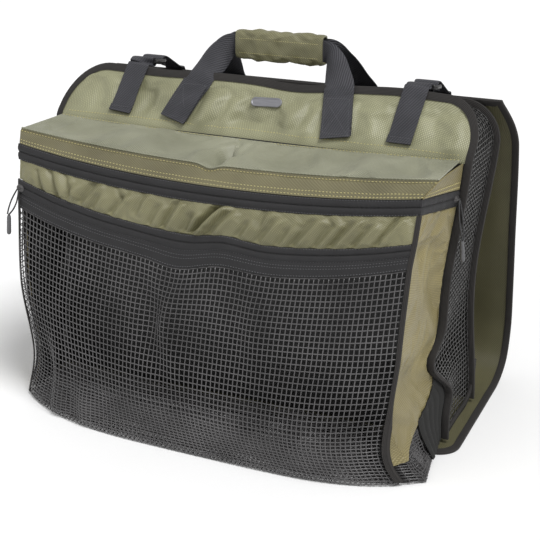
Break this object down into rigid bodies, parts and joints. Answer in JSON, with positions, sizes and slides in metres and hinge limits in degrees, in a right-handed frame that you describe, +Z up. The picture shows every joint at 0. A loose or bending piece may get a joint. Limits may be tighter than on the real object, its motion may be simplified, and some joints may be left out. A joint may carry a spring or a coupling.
{
  "type": "wader bag",
  "caption": "Soft carry bag for waders with a net front pocket, a mesh-sided rear compartment, padded carrying handles and a mat behind and under it.",
  "frame": {"origin": "on the ground under the middle of the bounding box", "axes": "+Z up, -Y towards the front with the net pocket, +X to the viewer's right, along the bag's width"},
  "size_m": [0.5844, 0.3912, 0.4598],
  "materials": {
    "olive_cloth": "woven nylon with a soft sheen",
    "mat_cloth": "woven nylon with a soft sheen",
    "binding_tape": "ribbed tape, matte",
    "zip_tape": "woven tape, matte",
    "coated_net": "coated, slightly glossy",
    "webbing": "ribbed webbing, matte",
    "buckle_plastic": "satin",
    "plate": "satin grey",
    "slider_metal": "satin",
    "pull_cord": "braided, matte",
    "grip_rubber": "matte grey"
  },
  "bodies": {
    "root": {"main_panel": "olive_cloth", "pocket_top": "olive_cloth", "pleated_panel": "olive_cloth", "left_gusset_top": "olive_cloth", "right_gusset_top": "olive_cloth", "left_gusset": "olive_cloth", "right_gusset": "olive_cloth", "back_panel": "olive_cloth", "handle_wrap": "olive_cloth", "mat": "mat_cloth", "main_binding": "binding_tape", "back_binding": "binding_tape", "mat_binding": "binding_tape", "pocket_zip": "zip_tape", "net_zip": "zip_tape", "front_net": "coated_net", "rear_mesh": "coated_net", "front_handle": "webbing", "rear_handle": "webbing", "left_front_strap": "webbing", "right_front_strap": "webbing", "left_rear_strap": "webbing", "right_rear_strap": "webbing", "left_buckle": "buckle_plastic", "right_buckle": "buckle_plastic", "badge": "plate", "left_slider": "slider_metal", "right_slider": "slider_metal", "left_pull_cord": "pull_cord", "right_pull_cord": "pull_cord", "left_pull_grip": "grip_rubber", "right_pull_grip": "grip_rubber"}
  },
  "joints": []
}
